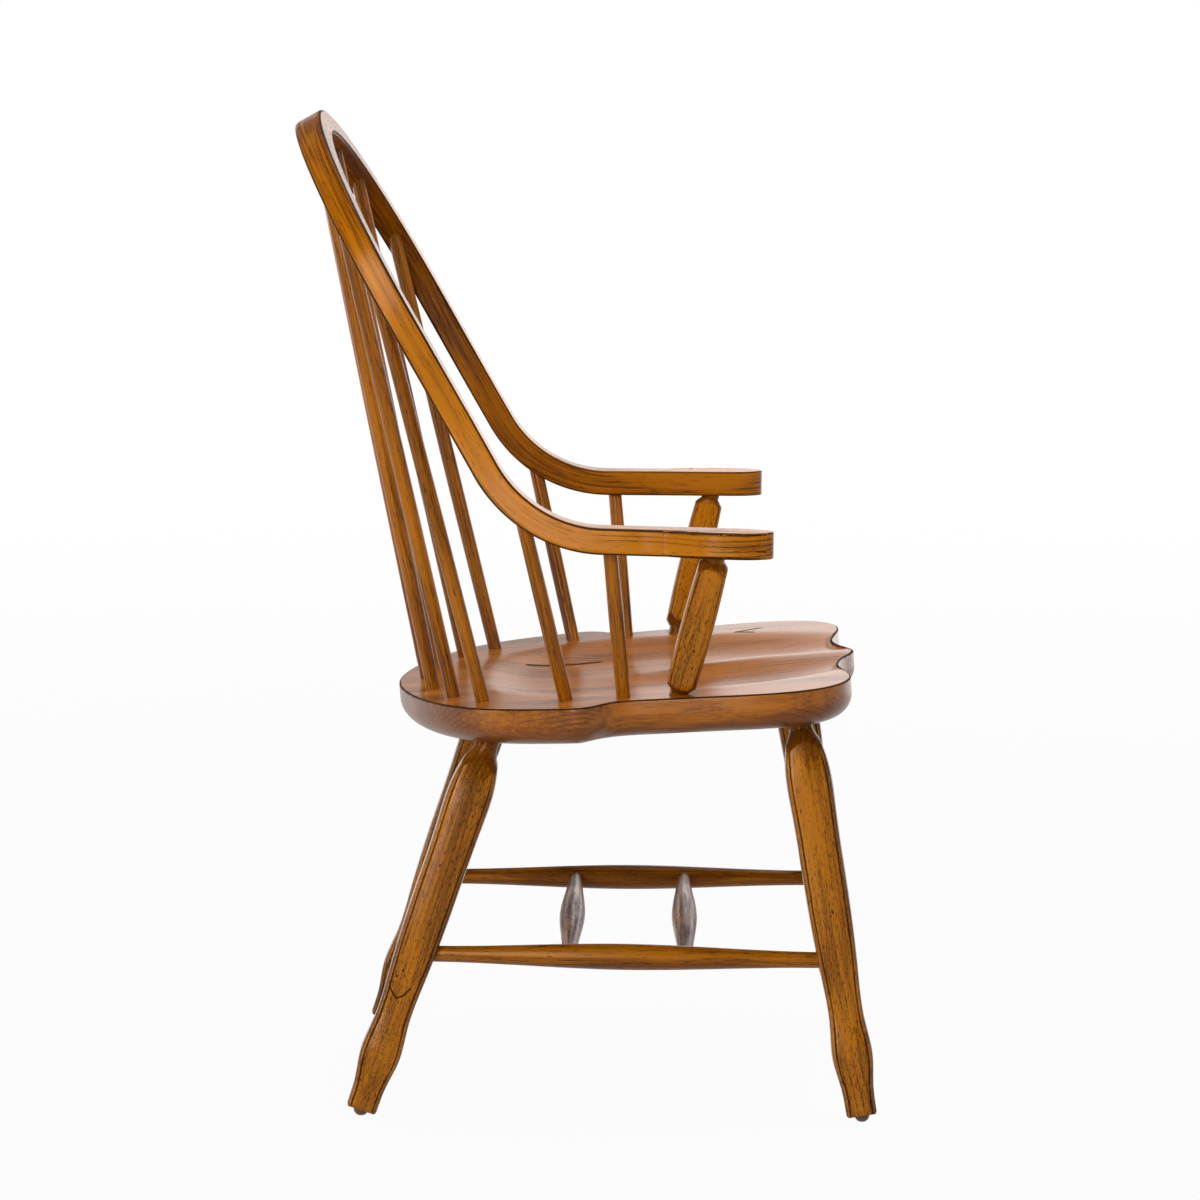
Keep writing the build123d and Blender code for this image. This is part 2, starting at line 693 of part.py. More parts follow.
os.makedirs("parts", exist_ok=True)
for name, shape in build().items():
    export_step(shape, f"parts/{name}.step")
    box = shape.bounding_box()
    size = [round(v, 1) for v in (box.min.X, box.min.Y, box.min.Z, box.max.X, box.max.Y, box.max.Z)]
    print(name, len(shape.solids()), round(shape.volume / 1000, 1), size, shape.is_valid)
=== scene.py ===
# %% [markdown]
# # Bow back armchair
# A stained hardwood armchair: one bent bow makes the back and both arms, plain spindles stand
# between it and a saddled plank seat, and four splayed legs are tied by swelled stretchers.
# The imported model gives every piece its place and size. This lesson dresses it: each wooden piece
# is made again as a clean mesh that knows which way its grain runs, and then it gets its finish.

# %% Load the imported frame
from math import atan2, cos, degrees, exp, pi, radians, sin, sqrt, tan
import bmesh
import bpy
from mathutils import Matrix, Vector
from mathutils.bvhtree import BVHTree


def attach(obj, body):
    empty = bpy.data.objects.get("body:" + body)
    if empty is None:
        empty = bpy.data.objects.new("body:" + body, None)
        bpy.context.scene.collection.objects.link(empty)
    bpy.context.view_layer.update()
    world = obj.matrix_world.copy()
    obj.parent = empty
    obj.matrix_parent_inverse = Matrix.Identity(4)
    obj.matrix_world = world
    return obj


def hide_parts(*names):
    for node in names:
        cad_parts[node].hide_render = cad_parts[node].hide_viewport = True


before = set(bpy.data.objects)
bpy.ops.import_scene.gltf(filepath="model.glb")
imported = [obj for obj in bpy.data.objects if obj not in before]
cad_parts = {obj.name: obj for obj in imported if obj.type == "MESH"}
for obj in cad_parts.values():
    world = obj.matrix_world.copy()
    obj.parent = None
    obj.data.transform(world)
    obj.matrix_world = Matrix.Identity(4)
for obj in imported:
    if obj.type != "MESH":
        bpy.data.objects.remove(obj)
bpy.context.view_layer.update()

# A millimetre, and how near two points must be to count as one
MM, TOUCH = 0.001, 1e-6

# %% [markdown]
# ## Camera
# The chair was photographed from its right side with a long lens, a little above the seat. The
# camera could be aimed by eye, but edges that mirror each other on the chair fix it far better:
# the place, the three turns and the focal length below come from fitting such pairs.

# %% Camera
EYE = Vector((-5.6497, -0.0816, 1.2684))
YAW, PITCH, ROLL = radians(0.65984), radians(7.38329), radians(0.11728)
lens = bpy.data.cameras.new("long_lens")
lens.sensor_width = 36
lens.lens = 151.795
camera = bpy.data.objects.new("camera", lens)
look = Vector((cos(YAW) * cos(PITCH), sin(YAW) * cos(PITCH), -sin(PITCH)))
level = look.cross(Vector((0, 0, 1))).normalized()
above = level.cross(look)
right = level * cos(ROLL) + above * sin(ROLL)
up = above * cos(ROLL) - level * sin(ROLL)
camera.matrix_world = Matrix.Translation(EYE) @ Matrix((right, up, -look)).transposed().to_4x4()
bpy.context.scene.collection.objects.link(camera)
bpy.context.scene.camera = camera
print("camera looks along", [round(v, 3) for v in look])

# %% [markdown]
# ## Sums with shader sockets
# A finish is a small sum of noises and masks. Built by hand it is a wall of Math nodes, so one
# class wraps a socket and lets Python's own operators add those nodes. Every other node comes
# from one method, which sets the node's options first and then its sockets.

# %% Shader sums
class Value:
    """One output of a shader node, ready for sums."""

    def __init__(self, tree, socket=None):
        self.tree = tree
        self.socket = socket

    def node(self, kind, options, inputs, out=0):
        """A new node in the same tree, with its options set before its sockets."""
        made = self.tree.nodes.new("ShaderNode" + kind)
        for name, option in options.items():
            setattr(made, name, option)
        for name, value in inputs.items():
            if isinstance(value, Value):
                self.tree.links.new(value.socket, made.inputs[name])
            else:
                made.inputs[name].default_value = value
        return Value(self.tree, made.outputs[out])

    def sum(self, operation, other=None, first=None):
        """One Math node on this value, with another after it or before it."""
        pair = {0: self} if first is None else {0: first, 1: self}
        if other is not None:
            pair[1] = other
        return self.node("Math", {"operation": operation}, pair)

    def __add__(self, other):
        return self.sum("ADD", other)

    def __radd__(self, other):
        return self.sum("ADD", first=other)

    def __sub__(self, other):
        return self.sum("SUBTRACT", other)

    def __rsub__(self, other):
        return self.sum("SUBTRACT", first=other)

    def __mul__(self, other):
        return self.sum("MULTIPLY", other)

    def __rmul__(self, other):
        return self.sum("MULTIPLY", first=other)

    def ramp(self, low, high):
        """Runs softly from 0 at low to 1 at high, and the other way if low is the higher."""
        inputs = {"Value": self, "From Min": low, "From Max": high}
        return self.node("MapRange", {"interpolation_type": "SMOOTHSTEP"}, inputs)

    def vector(self, operation, other=None, out="Vector"):
        """One Vector Math node on this vector, with another vector after it."""
        pair = {0: self} if other is None else {0: self, 1: other}
        return self.node("VectorMath", {"operation": operation}, pair, out)

    def noise(self, across, along, detail):
        """Noise of this vector, with so many lumps to the metre across and along the grain."""
        scaled = self.vector("MULTIPLY", (across, across, along))
        return self.node("TexNoise", {}, {"Vector": scaled, "Scale": 1.0, "Detail": detail})

    def tint(self, mask, colour):
        """This colour with another laid over it where the mask is."""
        return self.node("Mix", {"data_type": "RGBA"}, {0: mask, 6: self, 7: colour}, out=2)

    def stroke(self, a, b, width):
        """1 along a straight mark from a to b, solid over its inner third and 0 at its width."""
        way = Vector(b) - Vector(a)
        step = self.vector("SUBTRACT", a)
        share = step.vector("DOT_PRODUCT", tuple(way / way.length_squared), out="Value")
        share = self.node("Math", {"operation": "MULTIPLY", "use_clamp": True}, {0: share, 1: 1.0})
        foot = self.node("VectorMath", {"operation": "SCALE"}, {0: tuple(way), "Scale": share})
        return step.vector("DISTANCE", foot, out="Value").ramp(width, 0.35 * width)


def new_finish(name):
    """An empty material, a start for its sums, and its output node."""
    material = bpy.data.materials.new(name)
    material.use_nodes = True
    tree = material.node_tree
    tree.nodes.clear()
    return material, Value(tree), tree.nodes.new("ShaderNodeOutputMaterial")


print("shader sums ready")

# %% [markdown]
# ## Stained and lacquered wood
# The wood is open-grained and stained honey brown: growth rings, soft streaks, fine dark pores
# along the grain, a dark glaze rubbed into the edges, and a satin lacquer that mirrors the pale
# room at a low angle. The pattern could sit in Object coordinates, but then it would cut straight
# across the bent bow. So every piece carries its own grain coordinates, taken before it was bent
# or leaned into place. Growth rings are distances from a pith line beside the piece. A few dents,
# worm holes and checks were put in by hand before the glaze, which fills them; each is a chain of
# thin dark strokes between places on the chair. Some pieces carry painted shade and painted sheen
# in their stain layer, and painted shade in their glaze layer. Where the stain, the painted shade
# or the glaze is deep, less lacquer is left.

# %% Marks and stains
# The pith line beside each piece and the width of a growth ring
PITH, RING = (0.031, -0.074, 0.0), 0.0052
# The lacquer's own tint, and the dark glaze, which is also the colour of painted shade
AMBER, GLAZE_AND_SHADE = (1.0, 0.42, 0.06, 1), (0.011, 0.004, 0.0015, 1)
# A crescent gouge on a rear leg, a slit and a forked check in the seat
GOUGE = [(-0.2519, 0.2091, 0.1516), (-0.2533, 0.2069, 0.1408), (-0.2534, 0.2014, 0.1320),
         (-0.2533, 0.1938, 0.1343), (-0.2532, 0.1862, 0.1420)]
SLIT = [(0.1092, 0.0662, 0.4464), (0.1140, 0.0479, 0.4449),
        (0.1280, 0.0079, 0.4452), (0.1362, -0.0140, 0.4464)]
CHECK = [(0.2346, -0.2016, 0.4734), (0.2137, -0.1732, 0.4714), (0.2056, -0.1917, 0.4726)]
# Worm holes in the legs and a post, and cracks beside the hands' glue lines
WORM_HOLES = [(-0.2471, 0.1536, 0.2768), (-0.2624, -0.2723, 0.2297), (-0.2834, -0.1206, 0.5172),
              (-0.2530, 0.2010, 0.1560), (-0.2531, 0.1935, 0.1620)]
HAND_CRACKS = [[(-0.3366, -0.1863, 0.6316), (-0.3312, -0.1959, 0.6310)],
               [(-0.3209, -0.1215, 0.6520), (-0.3312, -0.1239, 0.6512)],
               [(0.3302, -0.1220, 0.6520), (0.3170, -0.1192, 0.6521)]]
GOUGE_W, SLIT_W, CHECK_W, HOLE_W, HOLE_L, CRACK_W = 0.0016, 0.006, 0.0045, 0.0017, 0.001, 0.0011
HOLES = [([(x, y, z), (x, y, z + HOLE_L)], HOLE_W) for x, y, z in WORM_HOLES]
MARKS = {
    "seat_wood": [(SLIT, SLIT_W), (CHECK, CHECK_W)],
    "bow_wood": [(crack, CRACK_W) for crack in HAND_CRACKS],
    "turned_wood": [],
    "leg_wood": [(GOUGE, GOUGE_W)] + HOLES,
}
# Light and dark stain, share and closeness of pores, strength of rings, roughness, lacquer
WOODS = {
    "seat_wood": {"light": (0.36, 0.110, 0.006, 1), "dark": (0.15, 0.040, 0.003, 1),
                  "pores": 0.31, "run": 70, "lines": 0.8, "sheen": 0.36, "coat": 0.50},
    "bow_wood": {"light": (0.43, 0.138, 0.002, 1), "dark": (0.15, 0.040, 0.001, 1),
                 "pores": 0.34, "run": 70, "lines": 1.0, "sheen": 0.30, "coat": 0.15},
    "turned_wood": {"light": (0.36, 0.116, 0.003, 1), "dark": (0.14, 0.038, 0.001, 1),
                    "pores": 0.37, "run": 60, "lines": 0.5, "sheen": 0.33, "coat": 0.26},
    "leg_wood": {"light": (0.42, 0.140, 0.003, 1), "dark": (0.16, 0.045, 0.001, 1),
                 "pores": 0.405, "run": 170, "lines": 0.5, "sheen": 0.27, "coat": 0.26},
}
print("marks", {slot: len(marks) for slot, marks in MARKS.items()})

# %% [markdown]
# Five noises of the grain place, from a broad drift down to single pores, make all of the figure.
# The weights below were set against the photograph.

# %% Wood finish
def shade(colour, share):
    """A colour at a share of its brightness."""
    return tuple(share * v for v in colour[:3]) + (1,)


def wood_finish(slot, light, dark, pores, run, lines, sheen, coat):
    """Lacquered wood that reads each piece's grain place, its stain and painted shading, and its
    glaze on edges and as painted shade.
    """
    material, start, output = new_finish("stained_" + slot)
    grain = start.node("Attribute", {"attribute_name": "grain"}, {}, out="Vector")
    glaze_and_shade = start.node("Attribute", {"attribute_name": "glaze_and_shade"}, {}, out="Fac")
    stain_and_shading = start.node("Attribute", {"attribute_name": "stain_and_shading"}, {}, out="Fac")
    place = start.node("TexCoord", {}, {}, out="Object")
    drift = grain.noise(7, 4.0, 1.0)
    cloud = grain.noise(26, 5.0, 2.0)
    streak = grain.noise(180, 5.0, 3.0)
    fibre = grain.noise(650, 9, 2.0)
    speck = grain.noise(1150, run, 1.0)
    # Growth rings, pores and the stain's tone, with its painted shade and painted sheen
    reach = grain.vector("MULTIPLY", (1, 1, 0)).vector("DISTANCE", PITH, out="Value")
    ring = ((reach + 0.035 * drift + 0.0012 * streak) * (1 / RING)).sum("FRACT").ramp(0.6, 1.0)
    figure = lines * ring * cloud.ramp(0.45, 0.56)
    pore = (speck + 0.07 * ring + 0.3 * (cloud - 0.5)).ramp(1 - pores, 1.06 - pores)
    tone = (0.45 * cloud + 0.35 * streak + 0.3 * fibre + stain_and_shading).ramp(0.42, 0.68)
    # Glaze along the edges and in the marks, and painted shade where a piece is glazed all over
    edge = (glaze_and_shade + 0.6 * (streak - 0.5)).ramp(0.30, 0.66)
    for line, width in MARKS[slot]:
        for a, b in zip(line, line[1:]):
            edge = edge.sum("MAXIMUM", place.stroke(a, b, width))
    colour = start.node("Mix", {"data_type": "RGBA"}, {0: tone, 6: light, 7: dark}, out=2)
    colour = colour.tint(figure, shade(dark, 0.35)).tint(0.85 * pore, shade(dark, 0.14))
    relief = {"Strength": 0.2, "Distance": 0.0003, "Height": 0.4 * fibre - pore - edge}
    lacquer = coat - coat * edge - stain_and_shading.sum("MAXIMUM", 0.0)
    shader = start.node("BsdfPrincipled", {}, {
        "Base Color": colour.tint(0.95 * edge, GLAZE_AND_SHADE),
        "Roughness": sheen + 0.2 * pore + 0.12 * (fibre - 0.5) + 0.3 * edge,
        "Normal": start.node("Bump", {}, relief),
        "IOR": 1.33,
        "Specular Tint": AMBER,
        "Coat Weight": lacquer.sum("MAXIMUM", 0.0),
        "Coat Roughness": 0.7 * sheen,
        "Coat IOR": 1.5,
    })
    start.tree.links.new(shader.socket, output.inputs["Surface"])
    return material


FINISHES = {slot: wood_finish(slot, **wood) for slot, wood in WOODS.items()}
print("wood finishes", sorted(FINISHES))

# %% [markdown]
# ## Calipers
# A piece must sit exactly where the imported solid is. Numbers could be copied over, but measuring
# is safer: the solid is sliced to find a stick's centre line, and rays sent in from outside feel
# its skin, just as calipers do. Sockets fool a single ray, so the widest of several counts.

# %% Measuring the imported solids
# How far inside a piece's ends, and from how far out, it is felt
END_GAP, RAY_REACH = 0.0004, 0.1


def ease(k):
    """Smooth step from 0 to 1."""
    k = min(max(k, 0.0), 1.0)
    return k * k * (3 - 2 * k)


def solid_of(node):
    """A merged copy of a node's mesh, and a search tree on it."""
    bm = bmesh.new()
    bm.from_mesh(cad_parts[node].data)
    bmesh.ops.remove_doubles(bm, verts=bm.verts, dist=TOUCH)
    return bm, BVHTree.FromBMesh(bm)


def slice_centre(bm, way, share):
    """Middle of the slice across a solid, at a share of its length along one axis."""
    values = [v.co[way] for v in bm.verts]
    place = Vector((0, 0, 0))
    place[way] = min(values) + (max(values) - min(values)) * share
    normal = Vector((0, 0, 0))
    normal[way] = 1
    cut = bm.copy()
    geometry = cut.verts[:] + cut.edges[:] + cut.faces[:]
    made = bmesh.ops.bisect_plane(cut, geom=geometry, plane_co=place, plane_no=normal)["geom_cut"]
    ring = [v.co.copy() for v in made if isinstance(v, bmesh.types.BMVert)]
    cut.free()
    return Vector([(min(p[i] for p in ring) + max(p[i] for p in ring)) / 2 for i in range(3)])


def stick_frame(bm, way):
    """Frame at the lower end of a straight piece, Z along it, and the piece's length."""
    a, b = slice_centre(bm, way, 0.3), slice_centre(bm, way, 0.7)
    along = (b - a).normalized()
    ends = [(v.co - a).dot(along) for v in bm.verts]
    near = Vector((0, 1, 0)) if way == 0 else Vector((1, 0, 0))
    side = (near - along * along.dot(near)).normalized()
    turn = Matrix((side, along.cross(side), along)).transposed().to_4x4()
    return Matrix.Translation(a + along * min(ends)) @ turn, max(ends) - min(ends)


def feel(tree, place, length, z, angle, folds):
    """Widest radius of a solid about its own Z at one height, over evenly turned rays."""
    widest = 0.0
    axis = place @ Vector((0, 0, min(max(z, END_GAP), length - END_GAP)))
    for fold in range(folds):
        a = angle + 2 * pi * fold / folds
        out = (place.to_3x3() @ Vector((cos(a), sin(a), 0))).normalized()
        hit = tree.ray_cast(axis + out * RAY_REACH, -out)[0]
        if hit is not None:
            widest = max(widest, (hit - axis).dot(out))
    return widest


print("calipers ready")

# %% [markdown]
# ## From bench to chair
# Each piece is made in a frame of its own, as on a bench, with Z along its grain. There it gets
# its grain coordinates and its stain, and on some pieces painted shading. Edges that bend sharply
# get the dark glaze, since that is where a rag leaves it. Then the piece moves to its place and
# takes over from the imported node.

# %% Finishing a piece
made_so_far = []
# Each piece is cut this much further on in the timber than the one before
NEXT_CUT = Vector((0.37, 0.61, 1.73))


def spin_row(bm, row, sides):
    """Takes a row of points once round Z and merges what meets."""
    edges = [bm.edges.new(pair) for pair in zip(row, row[1:])]
    bmesh.ops.spin(bm, geom=row + edges, axis=(0, 0, 1), cent=(0, 0, 0), angle=2 * pi,
                   steps=sides, use_merge=True)
    bmesh.ops.remove_doubles(bm, verts=bm.verts, dist=TOUCH)


def mark_grain(bm, swap=False):
    """Stores each point's bench place, in a new stretch of timber, as its grain place."""
    layer = bm.verts.layers.float_vector.new("grain")
    shift = NEXT_CUT * (len(made_so_far) + 1)
    for v in bm.verts:
        v[layer] = (Vector((v.co.x, v.co.z, v.co.y)) if swap else v.co) + shift


def mark_glaze(bm, low, high):
    """Glaze where the surface bends outwards, from none at the low bend to full at the high one."""
    layer = bm.verts.layers.float.new("glaze_and_shade")
    bm.normal_update()
    for v in bm.verts:
        bends = []
        for e in v.link_edges:
            step = v.co - e.other_vert(v).co
            bends.append(2 * v.normal.dot(step) / max(step.length, TOUCH) ** 2 * MM)
        v[layer] = min(max((max(bends) - low) / (high - low), 0.0), 1.0)
    return layer


def soften(bm, layer, rubs):
    """Rubs a layer of glaze, or of stain and painted shading, out a little: each point moves half
    way to its neighbours' mean.
    """
    for rub in range(rubs):
        shares = []
        for v in bm.verts:
            near = [e.other_vert(v)[layer] for e in v.link_edges]
            shares.append((v[layer] + sum(near) / len(near)) / 2)
        for v, share in zip(bm.verts, shares):
            v[layer] = share


def mark_stain_and_shading(bm, amount):
    """One amount of stain and painted shading over a whole piece, a little darker or lighter than
    its finish.
    """
    layer = bm.verts.layers.float.new("stain_and_shading")
    for v in bm.verts:
        v[layer] = amount
    return layer


def place_piece(name, bm, place, slot, node):
    """Moves a finished piece from the bench to the chair in a node's stead."""
    bmesh.ops.transform(bm, matrix=place, verts=bm.verts)
    bmesh.ops.recalc_face_normals(bm, faces=bm.faces)
    mesh = bpy.data.meshes.new(name)
    bm.to_mesh(mesh)
    bm.free()
    for face in mesh.polygons:
        face.use_smooth = True
    mesh.materials.append(FINISHES[slot])
    piece = bpy.data.objects.new(name, mesh)
    bpy.context.scene.collection.objects.link(piece)
    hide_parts(node)
    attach(piece, "root")
    made_so_far.append(name)
    return piece


print("bench ready")

# %% [markdown]
# ## Spindles and stretchers
# These fifteen sticks are turned on a lathe: straight ends in their sockets and a slight swelling
# between. The lathe is Blender's spin: the half profile felt on the imported solid goes once round.
# The cross stretchers are glazed all over as painted shade, and the far side stretcher is painted a
# little darker, as painted shade.

# %% Turned sticks
STICK_STEPS, STICK_SIDES = 40, 32
STICK_RAYS, FIRST_RAY = 6, 0.3
# Painted shade on the far side stretcher
STICK_PAINTED_SHADE = {"side_stretcher_left": 0.08}
# Glaze all over the cross stretchers, as painted shade
CROSS_SHADE_GLAZE = 0.42


def turn_stick(node, way):
    """A turned stick in a node's stead; way is the chair's axis nearest to its length."""
    solid, tree = solid_of(node)
    place, length = stick_frame(solid, way)
    bm = bmesh.new()
    row = [bm.verts.new((0, 0, 0))]
    for k in range(STICK_STEPS + 1):
        z = length * k / STICK_STEPS
        row.append(bm.verts.new((feel(tree, place, length, z, FIRST_RAY, STICK_RAYS), 0, z)))
    row.append(bm.verts.new((0, 0, length)))
    spin_row(bm, row, STICK_SIDES)
    glaze_and_shade = bm.verts.layers.float.new("glaze_and_shade")
    # Painted shade on the cross stretchers, laid in as glaze
    for v in bm.verts:
        v[glaze_and_shade] = CROSS_SHADE_GLAZE if node.startswith("cross") else 0.0
    # Painted shade on the far side stretcher
    mark_stain_and_shading(bm, STICK_PAINTED_SHADE.get(node, 0.0))
    mark_grain(bm)
    solid.free()
    return place_piece(node + "_turned", bm, place, "turned_wood", node)


STICKS = {f"back_spindle_{k}": 2 for k in range(1, 8)}
for hand in ("left", "right"):
    STICKS[f"arm_spindle_rear_{hand}"] = 2
    STICKS[f"arm_spindle_front_{hand}"] = 2
    STICKS[f"side_stretcher_{hand}"] = 1
STICKS.update({"cross_stretcher_front": 0, "cross_stretcher_rear": 0})
for node, way in STICKS.items():
    turn_stick(node, way)
print("turned sticks", len(STICKS))

# %% [markdown]
# ## Legs and arm posts
# A leg is square with rounded corners, swells, draws in to an ankle and a bulb foot, and ends in a
# turned neck whose cut leaves an arch on each flat. Box modelling would lose that arch. So a plain
# cylinder is spun first, fine enough for the arch, and its points are then pressed on to the
# solid. The section is the same after a quarter turn, so four rays step over the sockets. Scraping
# by hand leaves the flats very slightly crowned, which draws out their highlights.

# %% Pressing an upright
UPRIGHT_SIDES = 128
# Steps along a piece, and how far from its ends they are fine
FINE_STEP, WIDE_STEP, FINE_REACH = 0.001, 0.004, 0.062
# Radius of a crowned flat, and how square a section must be to have flats
FLAT_R, SQUARE_FROM, SQUARE_SPAN = 0.1, 1.05, 0.15


def heights(length):
    """Steps along a piece, fine near both ends, which carry turned work."""
    z, steps = 0.0, [0.0]
    while z < length - FINE_STEP / 2:
        fine = z < FINE_REACH or abs(z - length) < FINE_REACH
        z = min(z + (FINE_STEP if fine else WIDE_STEP), length)
        steps.append(z)
    return steps


def pressed(tree, place, length):
    """A spun cylinder with every point pressed on to a solid whose section has four sides."""
    steps = heights(length)
    bm = bmesh.new()
    row = [bm.verts.new((1, 0, z)) for z in steps]
    row = [bm.verts.new((0, 0, 0))] + row + [bm.verts.new((0, 0, length))]
    spin_row(bm, row, UPRIGHT_SIDES)
    flats = {}
    for z in steps:
        corner, side = [feel(tree, place, length, z, angle, 4) for angle in (pi / 4, 0)]
        flats[round(z / MM)] = ease((corner / side - SQUARE_FROM) / SQUARE_SPAN)
    for v in bm.verts:
        if v.co.xy.length > 0.5:
            angle = atan2(v.co.y, v.co.x)
            r = feel(tree, place, length, v.co.z, angle, 4)
            turn = (angle + pi / 4) % (pi / 2) - pi / 4
            r -= flats[round(v.co.z / MM)] * (r * sin(turn)) ** 2 / (2 * FLAT_R) * cos(turn)
            v.co.x, v.co.y = v.co.x * r, v.co.y * r
    bmesh.ops.recalc_face_normals(bm, faces=bm.faces)
    bm.normal_update()
    return bm


print("steps along a leg of 0.45 m", len(heights(0.45)))

# %% [markdown]
# The glaze lies in two thin lines where a flat turns into its rounded corner. The turned necks
# and the slopes above the arches are painted darker instead, as painted shade in these recesses.

# %% Sawn and turned uprights
# The glaze line: degrees from a flat, its spread in degrees, its strength
ARRIS_TURN, ARRIS_SPREAD, ARRIS_GLAZE = 22, 17, 0.85
# The neck with its arches, the round part of it, and its painted shade
NECK_REACH, NECK_L, NECK_FADE, NECK_PAINTED_SHADE = 0.075, 0.034, 0.006, 0.16
UPRIGHT_STAIN = {"front": -0.04, "rear": -0.01, "arm": -0.03}


def saw_upright(node):
    """A leg or an arm post in a node's stead."""
    solid, tree = solid_of(node)
    place, length = stick_frame(solid, 2)
    bm = pressed(tree, place, length)
    mark_grain(bm)
    kind = node.split("_")[0]
    stain_and_shading = mark_stain_and_shading(bm, UPRIGHT_STAIN[kind])
    glaze_and_shade = bm.verts.layers.float.new("glaze_and_shade")
    necks = (0, length) if kind == "arm" else (length,)
    for v in bm.verts:
        turn = (degrees(atan2(v.normal.y, v.normal.x)) + 45) % 90 - 45
        v[glaze_and_shade] = ARRIS_GLAZE * ease(1 - abs(abs(turn) - ARRIS_TURN) / ARRIS_SPREAD)
        for away in [abs(v.co.z - end) for end in necks]:
            if away < NECK_REACH:
                neck_shade_share = max(ease((abs(v.normal.z) - 0.1) / 0.3), ease((NECK_L - away) / NECK_FADE))
                # Painted shade in the neck and on the slopes above the arches
                v[stain_and_shading] += NECK_PAINTED_SHADE * neck_shade_share
                v[glaze_and_shade] *= 1 - neck_shade_share
    soften(bm, stain_and_shading, 2)
    solid.free()
    return place_piece(node + "_sawn", bm, place, "leg_wood", node)


for hand in ("left", "right"):
    for kind in ("front_leg", "rear_leg", "arm_post"):
        saw_upright(f"{kind}_{hand}")
print("uprights 6, pieces so far", len(made_so_far))

# %% [markdown]
# ## Bow
# The bow is one bar, steamed and bent: over the crown, down both sides, forward through a tight
# bend and on as the arms. It is made the same way here. A straight bar with eased edges is marked
# with its grain, then every point is carried along the bent centre line. So the grain follows the
# bend, as it does in steamed wood. The centre line lies on a surface that is straight across the
# chair: a leaning flat, a round bend and a level flat.

# %% Bent centre line
# Lean of the back, drop of the arms, and the bend between them, in millimetres from here on
LEAN, ARM_DROP, BEND_R = radians(29.5), radians(0.8), 147.0
# Top of the crown (y, z), half the bow's width and the height of its round part
CROWN_TOP, HALF_W, CROWN_H = Vector((296.5, 1085.0)), 276.0, 217.0
# The bar at the sides and at the crown, its eased edges, and where it is full size
BAR_W, BAR_D, CROWN_W, CROWN_D, EDGE_R = 39.0, 28.6, 30.0, 32.0, 3.2
FULL_SIZE = radians(80)
# Top and tip of the arms, length of the hands and the splay of their outer side
ARM_TOP, ARM_TIP_Y, HAND_L, HAND_SPLAY = 654.6, -205.0, 117.0, 14.0 / 167.0
CROWN_STEPS = 48
# Where the centre line starts, bends and ends, as distances from its top
TOP = CROWN_TOP + Vector((cos(LEAN), -sin(LEAN))) * BAR_D / 2
RUN = (TOP.y - ARM_TOP + BAR_D / 2) / cos(LEAN)
HALF_TURN = (pi / 2 - LEAN - ARM_DROP) / 2
CUT = BEND_R * tan(HALF_TURN)
FIRST, LAST = RUN - CUT, RUN - CUT + 2 * HALF_TURN * BEND_R
CORNER_Y = TOP.x - sin(LEAN) * RUN
TIP_S = LAST - CUT + (CORNER_Y - ARM_TIP_Y) / cos(ARM_DROP)


def bow_level(s):
    """Place (y, z) and direction on the bow's middle surface at the distance s from its top."""
    down, arm = Vector((-sin(LEAN), -cos(LEAN))), Vector((-cos(ARM_DROP), -sin(ARM_DROP)))
    if s <= FIRST:
        return TOP + down * s, down
    if s >= LAST:
        return TOP + down * RUN + arm * (CUT + s - LAST), arm
    a = LEAN + (s - FIRST) / BEND_R
    centre = TOP + down * FIRST + Vector((-cos(LEAN), sin(LEAN))) * BEND_R
    return centre + Vector((cos(a), -sin(a))) * BEND_R, Vector((-sin(a), -cos(a)))


bow_solid, bow_tree = solid_of("bow")


def felt_side(s, inward):
    """Outer or inner face of the bow's side at the distance s, felt along X."""
    y, z = bow_level(s)[0]
    start, go = (0.0, 1.0) if inward else (0.5, -1.0)
    hit = bow_tree.ray_cast(Vector((start, y * MM, z * MM)), Vector((go, 0, 0)))[0]
    return None if hit is None else hit.x / MM


STATIONS = []
for k in range(CROWN_STEPS):
    a = pi / 2 * k / CROWN_STEPS
    x, s = HALF_W * sin(a), CROWN_W / 2 + CROWN_H * (1 - cos(a))
    share = ease(a / FULL_SIZE)
    size = (CROWN_W + (BAR_W - CROWN_W) * share, CROWN_D + (BAR_D - CROWN_D) * share)
    STATIONS.append([x - size[0] / 2, x + size[0] / 2, s, HALF_W * cos(a), CROWN_H * sin(a), size])
print("crown stations", len(STATIONS), "bend and tip", [round(s) for s in (FIRST, LAST, TIP_S)])

# %% [markdown]
# The sides and arms are felt on the solid: a ray from outside finds the outer face. Behind the
# hand the bar keeps its width; along the hand its inner face turns in to the rounded tip, so the
# stations crowd together there, each a share of what is left.

# %% Side and arm stations
SIDE_STEP, ARM_STEP, TIP_STEP, TIP_SHARE = 8.0, 5.0, 0.25, 0.16


def arm_steps():
    """Distances from the crown down the side and along the arm, closer at the bend and the tip."""
    s, steps = CROWN_W / 2 + CROWN_H, []
    while s < TIP_S - TIP_STEP:
        steps.append(s)
        left = TIP_S - s
        s += min(SIDE_STEP if s < FIRST else ARM_STEP, max(TIP_STEP, left * TIP_SHARE))
    return steps


